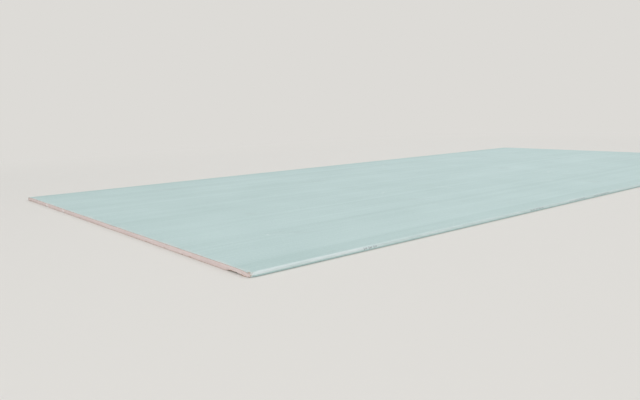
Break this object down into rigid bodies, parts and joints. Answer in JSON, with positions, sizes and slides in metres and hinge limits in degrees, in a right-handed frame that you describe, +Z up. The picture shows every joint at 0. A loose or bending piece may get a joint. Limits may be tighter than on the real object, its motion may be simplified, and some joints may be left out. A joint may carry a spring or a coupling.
{
  "type": "drywall sheet",
  "caption": "Flat rectangular gypsum board wrapped in paper, with recessed half-round long edges and square-cut ends, for lining walls and ceilings.",
  "frame": {"origin": "middle of the underside, at floor level", "axes": "+X along the board's length, +Y across its width, +Z up through its thickness, from the back to the face"},
  "size_m": [2.5, 1.2, 0.0095],
  "materials": {
    "gypsum": "matte",
    "green_paper": "matte",
    "buff_paper": "matte"
  },
  "bodies": {
    "root": {"gypsum_core": "gypsum", "face_paper": "green_paper", "back_paper": "buff_paper"}
  },
  "joints": []
}
